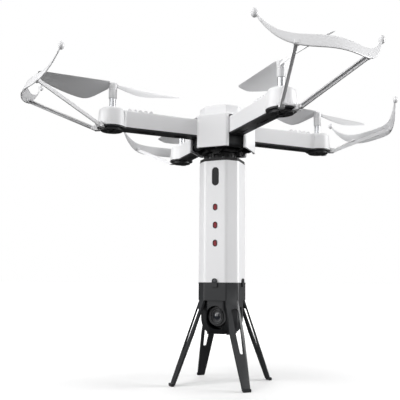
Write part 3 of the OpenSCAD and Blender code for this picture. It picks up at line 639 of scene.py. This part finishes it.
END_SHARPNESS = 60.0                           # how late a skin closes at its end
SLEEVE_RADIUS = 3.1 * MM
SLEEVE_LENGTH = 9.0 * MM


def make_blade():
    """One twisted blade that points along +X, narrow at its root and at its tip."""
    tree, size = geometry_tree("propeller_blade", {
        "Along": 56, "Around": 30, "Radius": 0.05, "Chord": 0.01, "Pitch": 30.0,
        "Lead": 0.003, "Thick": 0.001, "Tip Cut": 0.002})
    along, around = sheet_place(tree)
    t = (along * (math.pi / 2)).sin()
    turn = around * (2 * math.pi)
    root = (((t / BLADE_WIDEST).least(1.0) * (math.pi / 2)).sin() ** 1.3 * (1.0 - BLADE_ROOT)
            + BLADE_ROOT)
    taper = ((t - BLADE_WIDEST) / (1.0 - BLADE_WIDEST)).most(0.0) ** 1.5 * -BLADE_TAPER + 1.0
    chord = size["Chord"] * root * taper
    closing = ((-(t ** END_SHARPNESS) + 1.0).most(0.0) * (t / ROOT_CLOSING).least(1.0)) ** 0.5
    behind = (closing * turn.cos() + 1.0) * 0.5
    x = (size["Radius"] * (t * (1.0 - BLADE_START) + BLADE_START)
         - size["Tip Cut"] * behind * t ** 6.0)
    middle = size["Lead"] - t * BLADE_SWEEP - chord * 0.5
    y = middle - chord * 0.5 * closing * turn.cos()
    arch = turn.sin() ** 2.0 * chord * BLADE_CAMBER
    z = (arch + turn.sin() * (size["Thick"] - t * BLADE_THINNING) * 0.5) * closing
    pitch = (size["Pitch"] + BLADE_PITCH_MORE - t * BLADE_TWIST) * (math.pi / 180)
    wrapped_skin(tree, size, x,
                 y * pitch.cos() - z * pitch.sin(), y * pitch.sin() + z * pitch.cos(),
                 MATERIALS["propeller_white"])
    return grown(tree, "propeller_blade", Radius=PROPELLER_RADIUS, Chord=BLADE_CHORD,
                 Pitch=BLADE_PITCH, Lead=BLADE_LEAD, Thick=BLADE_THICK, Tip_Cut=BLADE_TIP_CUT)


def make_propellers():
    blade = make_blade()
    r, low = SLEEVE_RADIUS, -1.6 * MM - SLEEVE_LENGTH
    hub = turned("propeller_hub", [
        (0.0, low), (r - 0.5 * MM, low), (r - 0.15 * MM, low + 0.15 * MM), (r, low + 0.5 * MM),
        (r, -4.6 * MM), (r - 0.25 * MM, -4.4 * MM), (r - 0.25 * MM, -4.1 * MM), (r, -3.9 * MM),
        (r, -2.9 * MM), (3.1 * MM, -2.6 * MM), (3.3 * MM, -2.3 * MM), (3.3 * MM, 0.6 * MM),
        (3.2 * MM, 1.1 * MM), (2.9 * MM, 1.5 * MM), (2.3 * MM, 1.8 * MM), (1.4 * MM, 1.8 * MM),
        (1.2 * MM, 1.6 * MM), (0.9 * MM, 1.3 * MM), (0.0, 1.25 * MM)], 40)
    for arm, angle in ARMS.items():
        place = Matrix.Translation(HUB_OF[arm])
        turn = Matrix.Rotation(math.radians(angle + PROPELLER_TURN[arm]), 4, "Z")
        half = Matrix.Rotation(math.pi, 4, "Z")
        mesh = joined("propeller_" + arm, [(hub, place), (blade, place @ turn),
                                           (blade, place @ turn @ half)])
        piece = added(f"propeller_{arm}_blades", mesh, "rotor_" + arm, "propeller_white", 45.0)
        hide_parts("propeller_" + arm)


make_propellers()


# ---------------------------------------------------------------- propeller guards

BAND_REACH = 160.8 * MM
ARM_LOW = 194.5 * MM                  # height of the arm shells' lower edges
BAND_HALF_SPAN = 46.7 * MM
BAND_WIDTH, BAND_THICK = 9.9 * MM, 1.1 * MM
BAND_TIP, BAND_NARROWING = 0.22, 3.5   # width at the tips, part of the middle's; its power
BAND_OUT, BAND_UP = 0.4, 0.917         # lean of the band, as parts of its width
# With q, the square of the way across over BAND_UNIT, the band bows by BOW q - BOW_BACK q q
# and its height is BAND_BASE - DIP q + CLIMB q q
BAND_UNIT = 0.05
BOW, BOW_BACK = 25 * MM, 3.5 * MM
BAND_BASE, DIP, CLIMB = 17.7 * MM, 6 * MM, 34.5 * MM
BEAD_OUT = 0.5 * MM
BEAD_RADIUS, BEAD_HALF_HEIGHT = 2.1 * MM, 3.0 * MM
SOCKET_WIDTH, SOCKET_LENGTH, SOCKET_ROUNDING = 3.4 * MM, 2.6 * MM, 0.35 * MM
STRUT_FOOT = Vector((105.01, 6.8, 193.7)) * MM
STRUT_HEAD = Vector((152.4, 25.22, 214.6)) * MM


def bead_place():
    """Where the bead at the end of an arm's guard band sits, for an arm along +X."""
    q = (BAND_HALF_SPAN / BAND_UNIT) ** 2
    rise = BAND_WIDTH * BAND_TIP / 2
    return Vector((BAND_REACH - q * BOW + q * q * BOW_BACK - BAND_OUT * rise + BEAD_OUT,
                   BAND_HALF_SPAN,
                   ARM_LOW + BAND_BASE - q * DIP + q * q * CLIMB + BAND_UP * rise))


BEAD = bead_place()


def make_band():
    """The band of the guard of an arm that points along +X: it bows away and climbs."""
    tree, size = geometry_tree("guard_band", {
        "Along": 72, "Around": 24, "Reach": 0.1, "Low": 0.1, "Half Span": 0.05, "Width": 0.01,
        "Thick": 0.001})
    along, around = sheet_place(tree)
    share = along * 2.0 - 1.0
    across = share * size["Half Span"]
    q = (across / BAND_UNIT) ** 2.0
    closing = (-(share.math("ABSOLUTE") ** END_SHARPNESS) + 1.0).most(0.0) ** 0.5
    turn = around * (2 * math.pi)
    flat, edge = turn.cos(), turn.sin()
    flat, edge = (n.math("SIGN") * n.math("ABSOLUTE") ** 0.4 * closing * 0.5 + 0.5
                  for n in (flat, edge))
    narrowing = share.math("ABSOLUTE") ** BAND_NARROWING * (BAND_TIP - 1.0) + 1.0
    up = size["Width"] * narrowing * edge
    out = size["Thick"] * flat
    reach = size["Reach"] - q * BOW + q * q * BOW_BACK - up * BAND_OUT + out * BAND_UP
    height = size["Low"] + BAND_BASE - q * DIP + q * q * CLIMB + up * BAND_UP + out * BAND_OUT
    wrapped_skin(tree, size, reach, across, height, MATERIALS["guard_white"])
    return grown(tree, "guard_band", Reach=BAND_REACH, Low=ARM_LOW, Half_Span=BAND_HALF_SPAN,
                 Width=BAND_WIDTH, Thick=BAND_THICK)


def make_guards():
    band = make_band()
    run = (STRUT_HEAD - STRUT_FOOT).normalized()
    upright = run.to_track_quat("Z", "Y").to_matrix().to_4x4()
    socket = rounded_block("guard_socket", (SOCKET_WIDTH, SOCKET_WIDTH, SOCKET_LENGTH),
                           SOCKET_ROUNDING)
    place = Matrix.Translation(STRUT_HEAD + run * SOCKET_LENGTH / 2) @ upright
    mirror = Matrix.Diagonal((1, -1, 1, 1))
    ball = turned("guard_bead", [(BEAD_RADIUS * math.sin(a), -BEAD_HALF_HEIGHT * math.cos(a))
                                 for a in (math.pi * k / 16 for k in range(17))], 32)
    at_tip = Matrix.Translation(BEAD)
    for arm, angle in ARMS.items():
        turn = Matrix.Rotation(math.radians(angle), 4, "Z")
        mesh = joined("guard_band_" + arm, [
            (band, turn), (socket, turn @ place), (socket, turn @ mirror @ place),
            (ball, turn @ at_tip), (ball, turn @ mirror @ at_tip)])
        piece = added(f"guard_band_{arm}_shaped", mesh, "arm_" + arm, "guard_white", 50.0)
        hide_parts("guard_band_" + arm)


make_guards()


# ---------------------------------------------------------------- camera under the tube

CAMERA_HEIGHT = 51.8 * MM
NOSE_FACE = 10.8 * MM
LENS_FRONT = 12.3 * MM
LENS_SLEEVE_RADIUS, LENS_SLEEVE_BACK = 3.8 * MM, 8.0 * MM
RING_STRETCH = 1.2 * MM                # the oval ring is this much longer up and down
GLASS_RADIUS, GLASS_DOME = 2.7 * MM, 6.0 * MM
GLASS_DEEP, GLASS_THICK = 0.35 * MM, 1.6 * MM
FACING_FRONT = Matrix.Rotation(math.pi / 2, 4, "X")     # +Z of a turned part points to -Y


def make_lens():
    """The oval, stepped ring round the lens, and its domed glass."""
    place = Matrix.Translation((0, 0, CAMERA_HEIGHT)) @ FACING_FRONT
    steps = [(4.8, 1.5), (5.0, 1.3), (5.0, 0.25), (4.88, 0.07), (4.65, 0.0), (4.42, 0.07),
             (4.3, 0.3), (4.25, 0.8), (3.95, 0.8), (3.9, 0.35), (3.8, 0.2), (3.5, 0.1),
             (3.1, 0.2), (2.85, 0.45), (2.75, 1.0)]     # mm: radius, depth behind the front
    profile = [(r * MM, LENS_FRONT - depth * MM) for r, depth in steps]
    profile = [(0.0, profile[0][1]), *profile, (0.0, profile[-1][1])]
    bezel = turned("lens_bezel", profile, 56, RING_STRETCH)
    sleeve = turned("lens_sleeve", [
        (0.0, LENS_SLEEVE_BACK), (LENS_SLEEVE_RADIUS, LENS_SLEEVE_BACK),
        (LENS_SLEEVE_RADIUS, NOSE_FACE), (0.0, NOSE_FACE)], 40)
    mesh = joined("lens_rings", [(bezel, place), (sleeve, place)])
    piece = added("lens_rings", mesh, "camera", "camera_black", 25.0)
    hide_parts("lens_barrel")
    edge = math.asin(GLASS_RADIUS / GLASS_DOME)
    profile = [(0.0, -GLASS_THICK), (GLASS_RADIUS, -GLASS_THICK)]
    profile += [(GLASS_DOME * math.sin(a), GLASS_DOME * math.cos(a) - GLASS_DOME)
                for a in (edge * (1 - k / 10) for k in range(11))]
    glass = turned("lens_dome", profile, 48)
    mesh = joined("lens_dome", [(glass, place @ Matrix.Translation(
        (0, 0, LENS_FRONT - GLASS_DEEP)))])
    piece = added("lens_dome", mesh, "camera", "lens_glass", 40.0)
    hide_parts("lens_glass")


make_lens()
softened("camera_ball", 0.25)


# ---------------------------------------------------------------- stage and light

STAGE_HALF = 30.0
MIDDLE = (0.0, 0.0, 0.14)
FLOOR_GREY, FLOOR_SEEN = 0.05, 0.88    # how much light it throws back, and how it looks
FLOOR_FADE = (0.08, 0.9)               # metres, where it starts and ends to glow white
HORIZON, ZENITH = 0.08, 0.36           # light of the studio's walls and of its ceiling
LIGHT_AWAY = 1.75                      # metres, from the drone's middle to each soft box
LIGHT_SIZE = 1.2                       # metres
# Degrees round and up, watts
SOFT_BOXES = {"left_low": (-148, 12, 21.0), "front_low": (-110, 10, 8.0),
              "front_high": (-108, 48, 12.0), "fill_right": (-50, 12, 5.0),
              "right_low": (25, 12, 40.0), "back_high": (115, 40, 8.0)}


def for_camera(tree, lighting, seen):
    """A number that is one thing for the light and another for the camera's own rays."""
    rays = tree.nodes.new("ShaderNodeLightPath")
    choice = tree.nodes.new("ShaderNodeMix")
    choice.data_type = "FLOAT"
    tree.links.new(rays.outputs["Is Camera Ray"], choice.inputs["Factor"])
    for slot, value in zip((choice.inputs["A"], choice.inputs["B"]), (lighting, seen)):
        if isinstance(value, float):
            slot.default_value = value
        else:
            tree.links.new(value, slot)
    return choice.outputs["Result"]


def make_stage():
    """A plain pale floor that runs out to the white of the studio."""
    work = bmesh.new()
    bmesh.ops.create_grid(work, x_segments=2, y_segments=2, size=STAGE_HALF)
    mesh = bpy.data.meshes.new("stage")
    work.to_mesh(mesh)
    work.free()
    material, tree, bsdf, place = shader("studio_floor", (0.75, 0.75, 0.75), 0.8)
    grey = for_camera(tree, FLOOR_GREY, FLOOR_SEEN)
    tree.links.new(grey, bsdf.inputs["Base Color"])
    away = tree.nodes.new("ShaderNodeVectorMath")
    away.operation = "LENGTH"
    tree.links.new(place, away.inputs[0])
    fade = tree.nodes.new("ShaderNodeMapRange")
    fade.inputs["From Min"].default_value = FLOOR_FADE[0]
    fade.inputs["From Max"].default_value = FLOOR_FADE[1]
    fade.inputs["To Max"].default_value = 1.0
    tree.links.new(away.outputs["Value"], fade.inputs["Value"])
    bsdf.inputs["Emission Color"].default_value = (1.0, 1.0, 1.0, 1.0)
    tree.links.new(for_camera(tree, 0.0, fade.outputs["Result"]),
                   bsdf.inputs["Emission Strength"])
    mesh.materials.append(material)
    stage = bpy.data.objects.new("stage", mesh)
    bpy.context.scene.collection.objects.link(stage)


def make_light(name, turn, climb, power):
    turn, climb = math.radians(turn), math.radians(climb)
    away = Vector((math.cos(climb) * math.cos(turn), math.cos(climb) * math.sin(turn),
                   math.sin(climb)))
    data = bpy.data.lights.new(name, "AREA")
    data.energy, data.size = power, LIGHT_SIZE
    light = bpy.data.objects.new(name, data)
    bpy.context.scene.collection.objects.link(light)
    light.location = Vector(MIDDLE) + away * LIGHT_AWAY
    light.rotation_mode = "QUATERNION"
    light.rotation_quaternion = away.to_track_quat("Z", "Y")


def make_lights():
    world = bpy.data.worlds.new("studio")
    world.use_nodes = True
    tree = world.node_tree
    back = next(n for n in tree.nodes if n.type == "BACKGROUND")
    back.inputs["Color"].default_value = (1.0, 1.0, 1.0, 1.0)
    height = tree.nodes.new("ShaderNodeSeparateXYZ")
    tree.links.new(tree.nodes.new("ShaderNodeTexCoord").outputs["Generated"], height.inputs[0])
    climb = tree.nodes.new("ShaderNodeMapRange")
    climb.inputs["To Min"].default_value = HORIZON
    climb.inputs["To Max"].default_value = ZENITH
    tree.links.new(height.outputs["Z"], climb.inputs["Value"])
    tree.links.new(for_camera(tree, climb.outputs["Result"], 1.0), back.inputs["Strength"])
    bpy.context.scene.world = world
    for name, box in SOFT_BOXES.items():
        make_light(name, *box)


make_stage()
make_lights()
bpy.context.scene.view_settings.view_transform = "Standard"


# ---------------------------------------------------------------- image points

FOCAL = IMAGE_SIZE * LENS / SENSOR                      # pixels


def seen_at(place):
    """Where a place shows in the image, in pixels from its top left corner."""
    local = camera.matrix_world.inverted() @ place
    return (IMAGE_SIZE * (0.5 - SHIFT_X) + FOCAL * local.x / -local.z,
            IMAGE_SIZE * (0.5 + SHIFT_Y) - FOCAL * local.y / -local.z)


def carrier_tree(things):
    """One tree of all the faces of these things, for rays."""
    places, faces = [], []
    for thing in things:
        first = len(places)
        places += [thing.matrix_world @ v.co for v in thing.data.vertices]
        faces += [[first + k for k in face.vertices] for face in thing.data.polygons]
    return BVHTree.FromPolygons(places, faces)


def placed(x, y, tree):
    """The place on a carrier that shows at a point of the image."""
    ray = camera.matrix_world.to_3x3() @ Vector((x - IMAGE_SIZE / 2 + SHIFT_X * IMAGE_SIZE,
                                                 IMAGE_SIZE / 2 - y + SHIFT_Y * IMAGE_SIZE,
                                                 -FOCAL))
    ray.normalize()
    hit = tree.ray_cast(CAMERA_PLACE, ray)[0]
    if hit is None:
        middle = Vector(MIDDLE)
        nearest = CAMERA_PLACE + ray * (middle - CAMERA_PLACE).dot(ray)
        hit = tree.find_nearest(nearest)[0]
    return hit


TUBE_FRONT = -16.8 * MM
LIGHT_ENDS = {"top": (215.1, 207.0), "bottom": (215.0, 243.1)}
# mm: radius, height over the tube; closed
BEZEL = [(1.25, -0.1), (1.9, -0.1), (1.9, 0.12), (1.82, 0.2), (1.4, 0.2), (1.25, 0.12),
         (1.25, -0.1)]
BEZEL_STRETCH = 0.8 * MM


def make_light_rims():
    """A dark bezel on each light, in a row between the first and the last."""
    tree = carrier_tree([bpy.data.objects[name] for name in ("body_tube_soft",
                                                              "status_lights_soft")])
    high, low = (placed(*LIGHT_ENDS[end], tree) for end in ("top", "bottom"))
    rim = turned("light_rim", [(radius * MM, height * MM) for radius, height in BEZEL], 40,
                 BEZEL_STRETCH)
    work = bmesh.new()
    work.from_mesh(rim)
    bmesh.ops.remove_doubles(work, verts=work.verts, dist=MERGE)
    work.to_mesh(rim)
    work.free()
    rim.transform(FACING_FRONT)
    row = repeated(make_row_tree, "light_rims", rim, "button_black", Count=3,
                   Step_Z=(low.z - high.z) / 2)
    mesh = joined("light_rims", [(row, Matrix.Translation((0.0, TUBE_FRONT, high.z)))])
    added("light_rims", mesh, "airframe", "button_black", 30.0)


make_light_rims()


# Each thing's point, the piece that shows there, and the place and reach (m) that pick out
# the thing on the piece
POINTS = {
    "button": ((215.6, 176.3), "power_button_soft", None),
    "light_top": ((215.8, 207.1), "light_rims", ((0.0, -0.0168, 0.1365), 0.004)),
    "light_bottom": ((215.8, 242.9), "light_rims", ((0.0, -0.0168, 0.1081), 0.004)),
    "lens": ((216.5, 317.5), "lens_rings", None),
    "foot_front_right": ((246.7, 391.9), "foot_pads_soft", ((0.0298, -0.0298, 0.0), 0.008)),
    "foot_front_left": ((173.0, 386.8), "foot_pads_soft", ((-0.0298, -0.0298, 0.0), 0.008)),
    "foot_rear_right": ((268.3, 379.5), "foot_pads_soft", ((0.0298, 0.0298, 0.0), 0.008)),
    "foot_rear_left": ((202.0, 375.8), "foot_pads_soft", ((-0.0298, 0.0298, 0.0), 0.008)),
    "bead_front_right_near": ((254.0, 11.0), "guard_band_fr_shaped", ("bead", -1)),
    "bead_front_right_far": ((381.0, 41.0), "guard_band_fr_shaped", ("bead", 1)),
    "bead_front_left_far": ((61.0, 45.0), "guard_band_fl_shaped", ("bead", 1)),
    "bead_rear_right_near": ((395.0, 100.3), "guard_band_rr_shaped", ("bead", -1)),
    "hub_front_right": ((281.0, 63.5), "propeller_fr_blades", ("hub", 0)),
    "hub_front_left": ((112.5, 84.5), "propeller_fl_blades", ("hub", 0)),
    "hub_rear_right": ((316.0, 115.0), "propeller_rr_blades", ("hub", 0)),
}
EDGES = {"left": 22.0, "right": 397.0, "top": 6.0, "bottom": 392.5}
HUB_NEAR, BEAD_NEAR = 0.0045, 0.0035   # metres, how far a hub and a bead reach
HIDDEN_GAP = 0.0003                    # metres; a place further behind a face is hidden


def picked(piece, pick):
    """The places on a piece that belong to one thing."""
    places = [v.co for v in piece.data.vertices]
    if pick is None:
        return places
    middle, reach = pick
    arm = piece.name.split("_")[-2]
    if middle == "hub":
        middle, reach = HUB_OF[arm], HUB_NEAR
    elif middle == "bead":
        turn = Matrix.Rotation(math.radians(ARMS[arm]), 4, "Z")
        middle, reach = turn @ Vector((BEAD.x, BEAD.y * reach, BEAD.z)), BEAD_NEAR
    return [place for place in places if (place - Vector(middle)).length < reach]


def write_points():
    """How far each thing shows from its point, by the finished vertices that show."""
    shown = [thing for thing in bpy.context.scene.objects
             if thing.type == "MESH" and thing.name != "stage" and not thing.hide_render]
    everything = carrier_tree(shown)

    def in_view(place):
        gap = place - CAMERA_PLACE
        hit = everything.ray_cast(CAMERA_PLACE, gap.normalized())[3]
        return hit is None or hit > gap.length - HIDDEN_GAP

    for name, (point, piece, pick) in POINTS.items():
        seen = [seen_at(place) for place in picked(bpy.data.objects[piece], pick)
                if in_view(place)]
        if seen:
            middle = [(min(axis) + max(axis)) / 2 for axis in zip(*seen)]
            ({"point": point, "off": [round(m - p, 2)
                                                     for m, p in zip(middle, point)]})
    seen = [seen_at(v.co) for thing in shown for v in thing.data.vertices]
    xs, ys = zip(*seen)
    for name, reach in (("left", min(xs)), ("right", max(xs)), ("top", min(ys)),
                        ("bottom", max(ys))):
        {"point": EDGES[name], "off": round(reach - EDGES[name], 2)}
        "object_" + name


write_points()


# ---------------------------------------------------------------- sizes

def corners(box):
    return [list(box[0]), list(box[1])]
